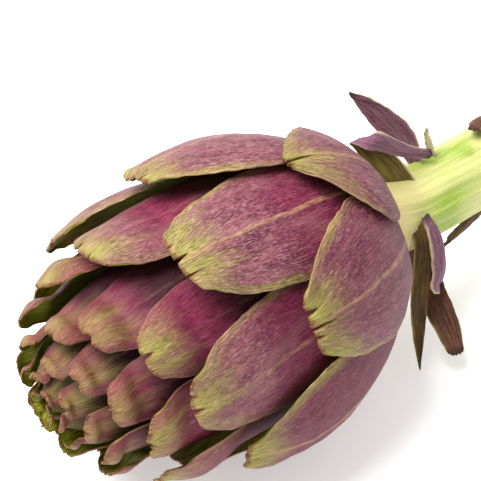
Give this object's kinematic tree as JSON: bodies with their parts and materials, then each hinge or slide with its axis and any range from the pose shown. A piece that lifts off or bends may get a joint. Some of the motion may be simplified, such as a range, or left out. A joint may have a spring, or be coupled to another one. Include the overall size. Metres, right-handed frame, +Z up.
{
  "type": "artichoke",
  "caption": "Purple globe artichoke with layered pointed bracts and a short cut stem with a few small leaves, lying on its side.",
  "frame": {"origin": "middle of the flat spot on the belly that the artichoke rests on", "axes": "+Z up; the head's axis is level along X, with the crown towards -X and the cut stem towards +X"},
  "size_m": [0.1803, 0.0938, 0.0905],
  "materials": {
    "bract": "matte plant skin, mauve-purple with green tips, fine veins and pale fuzz",
    "bud": "matte young leaf, yellow-green",
    "stem": "satin plant skin, pale yellow-green with ribs",
    "stem_leaf": "matte leaf, dull purple outside and olive inside",
    "withered_leaf": "matte dry leaf, brown-purple with a yellow edge",
    "pale_leaf": "matte leaf, pale straw"
  },
  "bodies": {
    "root": {"stem": "stem", "inner_bud": "bud", "bract_00": "bract", "bract_01": "bract", "bract_02": "bract", "bract_03": "bract", "bract_04": "bract", "bract_05": "bract", "bract_06": "bract", "bract_07": "bract", "bract_08": "bract", "bract_09": "bract", "bract_10": "bract", "bract_11": "bract", "bract_12": "bract", "bract_13": "bract", "bract_14": "bract", "bract_15": "bract", "bract_16": "bract", "bract_17": "bract", "bract_18": "bract", "bract_19": "bract", "bract_20": "bract", "bract_21": "bract", "bract_22": "bract", "bract_23": "bract", "bract_24": "bract", "bract_25": "bract", "bract_26": "bract", "bract_27": "bract", "bract_28": "bract", "bract_29": "bract", "bract_30": "bract", "bract_31": "bract", "bract_32": "bract", "bract_33": "bract", "bract_34": "bract", "bract_35": "bract", "bract_36": "bract", "bract_37": "bract", "bract_38": "bract", "bract_39": "bract", "bract_40": "bract", "bract_41": "bract", "bract_42": "bract", "bract_43": "bract", "bract_44": "bract", "bract_45": "bract", "stem_leaf_upright": "stem_leaf", "stem_leaf_folded": "stem_leaf", "stem_leaf_pale_spike": "pale_leaf", "stem_leaf_far": "withered_leaf", "stem_leaf_under": "withered_leaf", "stem_leaf_curled": "stem_leaf", "stem_leaf_hanging_blunt": "withered_leaf", "stem_leaf_hanging_pointed": "withered_leaf"}
  },
  "joints": []
}
